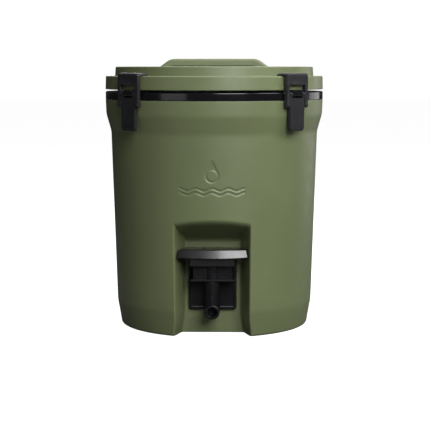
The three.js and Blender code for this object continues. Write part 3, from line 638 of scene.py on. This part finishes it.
def make_pin(name, radius, node, axis, centre, half, look="pin_steel"):
    """A pin with domed ends, of length 2 * half."""
    dome = radius * 0.35
    profile = [(0, -half), (radius * 0.6, -half + dome * 0.2), (radius * 0.9, -half + dome * 0.6),
               (radius, -half + dome)]
    profile += [(r, -z) for r, z in profile[::-1]]
    pin = turned_to(lathe(name, profile, 32), axis, centre)
    finished(pin, LOOKS[look], node, slot=look)


for place, angle in LATCH_ANGLES.items():
    make_lever(place, angle)
    make_hook(place, angle)
    plane = in_latch_plane(angle)
    along = Vector(plane(0, 0, 1))
    make_pin(f"lever_pin_skin_{place}", PIN_R, f"lever_pin_{place}", along,
             plane(PIVOT_R, LEVER_PIVOT_Z, 0), LEVER_HALF - 0.2)
    make_pin(f"hook_pin_skin_{place}", PIN_R, f"hook_pin_{place}", along,
             plane(PIVOT_R, HOOK_PIVOT_Z, 0), HOOK_HALF - 0.2)

# ---- Lid -----------------------------------------------------------------------------------

LID_SIDES = 288


def pocket_reach(turn, grow):
    """Distance from the axis to the pocket's wall, grown by grow, in each direction."""
    length, width, corner = (size + grow for size in POCKET)
    c, s = np.abs(np.cos(turn)), np.abs(np.sin(turn))
    cx, cy = length - corner, width - corner
    along = np.where(c > 1e-9, length / np.maximum(c, 1e-9), 1e9)
    across = np.where(s > 1e-9, width / np.maximum(s, 1e-9), 1e9)
    off = cx * s - cy * c
    corner_reach = cx * c + cy * s + np.sqrt(np.maximum(corner ** 2 - off ** 2, 0))
    return np.where(along * s <= cy, along, np.where(across * c <= cx, across, corner_reach))


def pocket_ring(grow, z, share=1.0):
    turn = np.arange(LID_SIDES) * TAU / LID_SIDES - math.pi / 2
    reach = pocket_reach(turn, grow) * share
    return np.stack([reach * np.cos(turn), reach * np.sin(turn), np.full(LID_SIDES, z)], 1)


def make_lid():
    floor_round, lip_round = 3.0, 2.2
    rings = [[[0, 0, POCKET_FLOOR]], pocket_ring(-floor_round, POCKET_FLOOR, 0.4)]
    for angle in np.radians([0, 22, 45, 68, 90]):
        rings.append(pocket_ring(-floor_round * (1 - math.sin(angle)),
                                 POCKET_FLOOR + floor_round * (1 - math.cos(angle))))
    for angle in np.radians([0, 22, 45, 68, 90]):
        rings.append(pocket_ring(lip_round * (1 - math.cos(angle)),
                                 DECK_Z - lip_round * (1 - math.sin(angle))))
    flange_in, top_in = FLANGE_R - WALL - 0.4, FLANGE_TOP - WALL
    line = fillet([
        (120, DECK_Z, 0), (128.2, DECK_Z, 1.5), (130.7, RING_TOP, 1.2),
        (RING_R - 0.8, RING_TOP, 1.8), (RING_R, FLANGE_TOP, 1.2), (FLANGE_R - 0.6, FLANGE_TOP, 1.6),
        (FLANGE_R, LID_LOW, 0.8), (flange_in, LID_LOW, 0.5), (flange_in - 0.4, top_in, 0.5),
        (RING_R - WALL, top_in, 0.5), (RING_R - WALL - 0.8, RING_TOP - WALL - 0.5, 0.5),
        (131.5, RING_TOP - WALL - 0.5, 0.5), (128.8, DECK_Z - WALL, 0.5), (120, DECK_Z - WALL, 0)],
        closed=False)
    rings += [circle(r, z, LID_SIDES) for r, z in line]
    rings += [pocket_ring(WALL, DECK_Z - WALL), pocket_ring(WALL, LID_LOW),
              pocket_ring(WALL, LID_LOW, 0.4), [[0, 0, LID_LOW]]]
    finished(skin("lid_skin", rings), LOOKS["lid_green"], "lid_cover", slot="lid_green", crease=50)


make_lid()

# ---- Handle --------------------------------------------------------------------------------


def rounded_section(half_a, half_b, corner):
    """A rounded rectangle round (0, 0), the same number of points for every size."""
    corner = min(corner, half_a * 0.95, half_b * 0.95)
    points = []
    for quarter, (sa, sb) in enumerate(((1, 1), (-1, 1), (-1, -1), (1, -1))):
        a, b = sa * (half_a - corner), sb * (half_b - corner)
        points += arc(a, b, corner, quarter * 90, quarter * 90 + 90, 18)
    return points


HANDLE_LEG, HANDLE_BAR = 11, 12.4  # heights of the section
TIER_SET_BACK, TIER_DROP, TIER_HALF = 2.6, 9.6, 56  # the narrower part under the bar's faces


def make_handle():
    leg, bar = HANDLE_LEG, HANDLE_BAR
    centre = HANDLE_HALF - leg / 2
    top = HANDLE_TOP - bar / 2
    right = fillet([(0, top, 0), (58.2, top, 13), (centre, 345.6, 9), (centre, 340.5, 0)],
                   closed=False, step=5)
    foot = [(centre, PIVOT_Z - drop) for drop in (5.5, 7.5, 8.9, 9.6)]
    path = [(-x, z) for x, z in (right + foot)[:0:-1]] + right + foot
    rings = []
    for i, (x, z) in enumerate(path):
        before, after = path[max(i - 1, 0)], path[min(i + 1, len(path) - 1)]
        along = Vector((after[0] - before[0], after[1] - before[1])).normalized()
        half = (leg if z < 349 else bar + (leg - bar) * (top - z) / (top - 349)) / 2
        drop = max(0, PIVOT_Z - z)
        depth = math.sqrt((HANDLE_WIDTH / 2) ** 2 - drop ** 2)
        rings.append([(x - along.y * a, b, z + along.x * a)
                      for a, b in rounded_section(half, depth, 3.2)])
    bail = skin("handle_bail", rings)
    for front, back in ((-HANDLE_WIDTH / 2 - 1, -HANDLE_WIDTH / 2 + TIER_SET_BACK),
                        (HANDLE_WIDTH / 2 - TIER_SET_BACK, HANDLE_WIDTH / 2 + 1)):
        under = prism("under", rect(front, back, HANDLE_TOP - bar - 2, HANDLE_TOP - TIER_DROP),
                      -TIER_HALF, TIER_HALF, across_x)
        combined(bail, "DIFFERENCE", under)
    finished(bail, LOOKS["lid_green"], "handle", slot="lid_green")
    for side, sign in (("left", -1), ("right", 1)):
        low, high = span(f"handle_pin_{side}")
        middle = (low[0] + high[0]) / 2
        make_pin(f"handle_pin_skin_{side}", 4, f"handle_pin_{side}", (1, 0, 0),
                 (middle, 0, PIVOT_Z), (high[0] - low[0]) / 2, "latch_black")


make_handle()

# ---- Tap -----------------------------------------------------------------------------------

PLATE_LOW, PLATE_HIGH = span("tap_faceplate")
SHELF_LOW, SHELF_TOP, SHELF_HALF, SHELF_FRONT = 74.6, 77.4, 31, 122.5
BLOCK_HALF, BLOCK_FRONT, BLOCK_TOP = 26, 119.2, 97.5
HOUSING_BACK = 95.3
PADDLE_PIVOT = (-99.5, 101)  # (y, z)
PADDLE_TOP, PADDLE_LOW, PADDLE_UNDER, PADDLE_REAR = 118, 106, 105.4, -97
PADDLE_TOP_FRONT, PADDLE_TIP = 128.6, 133.4
PADDLE_REAR_HALF, PADDLE_FLARE, PADDLE_TIP_FLARE = 37.4, 7.6, 2
PADDLE_BOW, PADDLE_RISE = 4, 2  # the ends are set back and lifted by this much
TUBE_R = 10.3
SKIRT_BACK, SKIRT_FRONT, SKIRT_LOW = 125.4, 127.2, 96.2


def rod(name, profile, axis, at, sides=48):
    return turned_to(lathe(name, profile, sides), axis, at)


def make_faceplate():
    """A rounded plate whose face is sunk inside a raised border."""
    half, low, high = PLATE_HIGH[0], PLATE_LOW[2], PLATE_HIGH[2]
    front, back = -PLATE_LOW[1], -PLATE_HIGH[1]
    middle = (low + high) / 2
    steps = [(0, back), (0, front - 1), (0.3, front - 0.3), (1, front), (3, front),
             (3.4, front - 0.1), (4.4, front - 0.5), (5, front - 0.6)]
    rings = []
    for inset, depth in steps:
        outline = rounded_section(half - inset, (high - low) / 2 - inset, max(4 - inset, 1.2))
        rings.append([(u, -depth, v + middle) for u, v in outline])
    plate = skin("faceplate_moulding", rings)
    finished(plate, LOOKS["tap_black"], "tap_faceplate", slot="tap_black")


def make_housing():
    block_low = SHELF_LOW + 1
    y, z = PADDLE_PIVOT
    side = [(-HOUSING_BACK, block_low), (-HOUSING_BACK, z), *arc(y, z, 3.6, 20, 180),
            *fillet([(y - 3.6, z, 0), (y - 3.6, BLOCK_TOP, 0.8), (-BLOCK_FRONT, BLOCK_TOP, 1.2),
                     (-BLOCK_FRONT, block_low, 0)], closed=False)[1:]]
    housing = bevelled(prism("tap_housing_moulding", side, -BLOCK_HALF, BLOCK_HALF, across_x), 0.8)
    for sign in (-1, 1):
        panel = prism("panel", rect(sign * 17 - 5.5, sign * 17 + 5.5, SHELF_TOP + 2.4, BLOCK_TOP - 3, 1.5),
                      -BLOCK_FRONT - 3, -BLOCK_FRONT + 0.9, through_y)
        combined(housing, "DIFFERENCE", bevelled(panel, 0.4, 2))
    relief = rod("relief", [(0, block_low), (TUBE_R, block_low), (TUBE_R, BLOCK_TOP - 0.8),
                            (TUBE_R - 0.8, BLOCK_TOP), (0, BLOCK_TOP)],
                 (0, 0, 1), (0, -TUBE_DEPTH, 0))
    shelf = bevelled(prism("shelf", rect(-SHELF_HALF, SHELF_HALF, -SHELF_FRONT, -HOUSING_BACK, 3),
                           SHELF_LOW, SHELF_TOP, up_z), 0.7)
    combined(housing, "UNION", relief, shelf)
    slot = prism("slot", rect(-2.6, 2.6, 85.5, 92, 0.8), -BLOCK_FRONT - 4, -BLOCK_FRONT - 0.6, through_y)
    well = rod("well", [(0, 82), (6.2, 82), (6.2, 110), (0, 110)],
               (0, 0, 1), (0, -TUBE_DEPTH, 0), 32)
    finished(combined(housing, "DIFFERENCE", slot, well), LOOKS["tap_black"], "tap_housing",
             slot="tap_black")


def make_spout():
    top = SHELF_LOW - 0.3
    ball = [(TUBE_R * math.sin(a), OUTLET_Z - TUBE_R * math.cos(a))
            for a in np.radians(np.arange(0, 90, 11.25))]
    tube = rod("spout_moulding", [*ball, (TUBE_R, OUTLET_Z), (TUBE_R, top - 0.5), (TUBE_R - 0.5, top),
                                  (0, top)], (0, 0, 1), (0, -TUBE_DEPTH, 0), 64)
    nozzle = fillet([(0, 0, 0), (8.7, 0, 0), (8.7, 11, 0.8), (9.8, 12.2, 0.6), (9.8, 16.5, 1.5),
                     (0, 16.5, 0)], closed=False)
    outlet = rod("outlet", nozzle, (0, -1, 0), (0, -TUBE_DEPTH, OUTLET_Z), 64)
    reach = TUBE_DEPTH - 95.4
    inlet = rod("inlet", [(0, 0), (8.6, 0), (8.6, reach - 2.2), (10.4, reach - 1.6), (10.4, reach),
                          (0, reach)], (0, 1, 0), (0, -TUBE_DEPTH, SHANK_Z))
    combined(tube, "UNION", outlet, inlet)
    bores = [
        rod("valve_bore", [(0, 56.5), (6.6, 56.5), (6.6, 90), (0, 90)], (0, 0, 1), (0, -TUBE_DEPTH, 0)),
        rod("seat", [(0, 50), (4.2, 50), (4.2, 60), (0, 60)], (0, 0, 1), (0, -TUBE_DEPTH, 0)),
        rod("outlet_bore", [(0, 27), (3, 28.4), (6.6, 33), (6.6, 54), (0, 54)], (0, 0, 1),
            (0, -TUBE_DEPTH, 0)),
        rod("mouth", [(0, 0), (6.25, 0), (6.25, 15.4), (6.6, 16.2), (7.4, 17), (7.4, 30), (0, 30)],
            (0, -1, 0), (0, -TUBE_DEPTH, OUTLET_Z)),
    ]
    finished(combined(tube, "DIFFERENCE", *bores), LOOKS["tap_black"], "spout", slot="tap_black")


def make_paddle():
    """The wing is lofted from end to end; its face leans back and bows, over a plain skirt."""
    rings = []
    for u in np.linspace(-1, 1, 41):
        bow = u * u
        top_front, tip = -PADDLE_TOP_FRONT + PADDLE_BOW * bow, -PADDLE_TIP + PADDLE_BOW * bow
        low = PADDLE_LOW + PADDLE_RISE * bow
        section = fillet([
            (PADDLE_REAR, PADDLE_TOP, 1.5), (PADDLE_REAR, PADDLE_UNDER, 0.6), (tip + 6, PADDLE_UNDER, 3),
            (tip, low, 1.1), (top_front, PADDLE_TOP, 1.4)])
        ring = []
        for y, z in section:
            ahead = (PADDLE_REAR - y) / (PADDLE_REAR - top_front)
            fall = (PADDLE_TOP - z) / (PADDLE_TOP - low)
            flare = PADDLE_FLARE + PADDLE_TIP_FLARE * min(max(0, fall), 1)
            half = PADDLE_REAR_HALF + flare * min(ahead, 1)
            ring.append((u * half, y, z))
        rings.append(ring)
    wing = bevelled(skin("paddle_moulding", rings), 0.9, 3, 50)
    y, z = PADDLE_PIVOT
    reach = BLOCK_HALF + 3.4
    cheek = [*arc(y, z, 3.4, 0, -90), *fillet([
        (y, z - 3.4, 0), (-SKIRT_FRONT, SKIRT_LOW, 1), (-SKIRT_FRONT, PADDLE_LOW + 1, 0),
        (y + 3.4, PADDLE_LOW + 1, 0)], closed=False)[1:]]
    cheeks = [prism("cheek", cheek, *sorted((sign * (BLOCK_HALF + 0.4), sign * reach)), across_x)
              for sign in (-1, 1)]
    skirt = prism("skirt", rect(-SKIRT_FRONT, -SKIRT_BACK, SKIRT_LOW, PADDLE_LOW + 1), -reach, reach,
                  across_x)
    apron = bevelled(combined(skirt, "UNION", *cheeks), 0.5, 2)
    pad = rod("press_pad", [(0, 104), (5.4, 104), (6, 104.6), (6, 108), (0, 108)], (0, 0, 1),
              (0, -TUBE_DEPTH, 0))
    finished(combined(wing, "UNION", apron, pad), LOOKS["paddle_black"], "paddle_lever",
             slot="paddle_black")


def make_spring():
    """The coil under the plunger's collar, which on the real tap shortens as the paddle goes down; here it
    is drawn at one length.
    """
    low, high = span("return_spring")
    wire, radius, turns, steps, travel = 0.6, 4.9, 6, 144, 4.33
    end_coil = 1.3  # rise of the first and the last turn
    bottom, top = low[2] + wire, high[2] - wire
    heights = np.interp(np.linspace(0, turns, steps + 1), (0, 1, turns - 1, turns),
                        (bottom, bottom + end_coil, top - end_coil, top))
    rings = []
    for angle, z in zip(np.linspace(0, TAU * turns, steps + 1), heights):
        out = (math.cos(angle), math.sin(angle))
        rings.append([((radius + a) * out[0], (radius + a) * out[1] - TUBE_DEPTH, z + b)
                      for a, b in arc(0, 0, wire, 0, 315, 45)])
    ends = [[np.mean(ring, axis=0)] for ring in (rings[0], rings[-1])]
    spring = skin("return_spring_wire", [ends[0], *rings, ends[1]])
    finished(spring, LOOKS["pin_steel"], "return_spring", slot="pin_steel")
    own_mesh(spring)


make_faceplate()
make_housing()
make_spout()
make_paddle()
make_spring()
make_pin("paddle_pin_skin", 1.6, "paddle_pin", (1, 0, 0), (0, *PADDLE_PIVOT), BLOCK_HALF + 3)

# ---- Studio --------------------------------------------------------------------------------


def seen_or_lit(tree, lit, seen):
    """A shader that is seen where the camera looks at it, and lit for every other ray."""
    path = tree.nodes.new("ShaderNodeLightPath")
    either = tree.nodes.new("ShaderNodeMixShader")
    tree.links.new(path.outputs["Is Camera Ray"], either.inputs[0])
    tree.links.new(lit, either.inputs[1])
    tree.links.new(seen, either.inputs[2])
    return either.outputs[0]


def pale_floor():
    """A white floor that throws little light back up, as a floor on black cloth does."""
    size = 14
    mesh = bpy.data.meshes.new("studio_floor")
    mesh.from_pydata([(-size, -size, 0), (size, -size, 0), (size, size, 0), (-size, size, 0)], [],
                     [(0, 1, 2, 3)])
    floor = bpy.data.objects.new("studio_floor", mesh)
    bpy.context.collection.objects.link(floor)
    material = bpy.data.materials.new("floor_white")
    material.use_nodes = True
    tree = material.node_tree
    tree.nodes.remove(tree.nodes["Principled BSDF"])
    spot = tree.nodes.new("ShaderNodeTexCoord").outputs["Object"]
    pale = tree.nodes.new("ShaderNodeBsdfDiffuse")
    tree.links.new(mixed(tree, noise(tree, spot, 3), (0.3, 0.3, 0.3), (0.33, 0.33, 0.33)),
                   pale.inputs["Color"])
    glow = tree.nodes.new("ShaderNodeEmission")
    glow.inputs["Strength"].default_value = 0.97
    both = tree.nodes.new("ShaderNodeAddShader")
    tree.links.new(pale.outputs[0], both.inputs[0])
    tree.links.new(glow.outputs[0], both.inputs[1])
    dull = tree.nodes.new("ShaderNodeBsdfDiffuse")
    dull.inputs["Color"].default_value = (0.1, 0.1, 0.1, 1)
    tree.links.new(seen_or_lit(tree, dull.outputs[0], both.outputs[0]),
                   tree.nodes["Material Output"].inputs["Surface"])
    mesh.materials.append(material)


def softbox(name, at, aim, width, height, power):
    lamp = bpy.data.lights.new(name, "AREA")
    lamp.shape = "RECTANGLE"
    lamp.size, lamp.size_y, lamp.energy = width, height, power
    obj = bpy.data.objects.new(name, lamp)
    obj.location = at
    obj.rotation_euler = (Vector(aim) - Vector(at)).to_track_quat("-Z", "Y").to_euler()
    bpy.context.collection.objects.link(obj)


def studio_world():
    """White where the camera sees past the jug, and a dim even fill everywhere else."""
    world = bpy.data.worlds.new("studio")
    world.use_nodes = True
    tree = world.node_tree
    fill = tree.nodes["Background"]
    fill.inputs["Color"].default_value = (1, 1, 1, 1)
    fill.inputs["Strength"].default_value = 0.045
    white = tree.nodes.new("ShaderNodeBackground")
    white.inputs["Color"].default_value = (1, 1, 1, 1)
    tree.links.new(seen_or_lit(tree, fill.outputs[0], white.outputs[0]),
                   tree.nodes["World Output"].inputs["Surface"])
    bpy.context.scene.world = world


def make_camera():
    reach, height, azimuth, tilt, aim_off = 1.890, 0.3566, 1.2, 6.21, 0.034
    data = bpy.data.cameras.new("camera")
    data.lens = 112.3
    data.clip_end = 100
    camera = bpy.data.objects.new("camera", data)
    turn = math.radians(azimuth)
    camera.location = (reach * math.sin(turn), -reach * math.cos(turn), height)
    camera.rotation_euler = (math.radians(90 - tilt), 0, math.radians(azimuth - aim_off))
    bpy.context.collection.objects.link(camera)
    bpy.context.scene.camera = camera


AIM_HEIGHT = 0.2
pale_floor()
studio_world()
# lamps: direction round from the front, height above the level, distance, width, height, power
for name, azimuth, elevation, distance, width, height, power in (
        ("key", 19, 29, 1.9, 0.9, 1.2, 40),
        ("card", 68, 36, 1.5, 0.9, 0.6, 12.5),
        ("rim", 128, 4, 1.5, 0.7, 0.9, 3),
        ("fill", -40, 14, 1.9, 0.9, 0.9, 2.4),
        ("back", 180, 28, 2, 1, 0.9, 12),
        ("overhead", 180, 72, 1.7, 1.4, 1.4, 28)):
    around, up = math.radians(azimuth), math.radians(elevation)
    reach = distance * math.cos(up)
    at = (reach * math.sin(around), -reach * math.cos(around), AIM_HEIGHT + distance * math.sin(up))
    softbox(name, at, (0, 0, AIM_HEIGHT), width, height, power)
make_camera()
bpy.context.scene.view_settings.view_transform = "Standard"
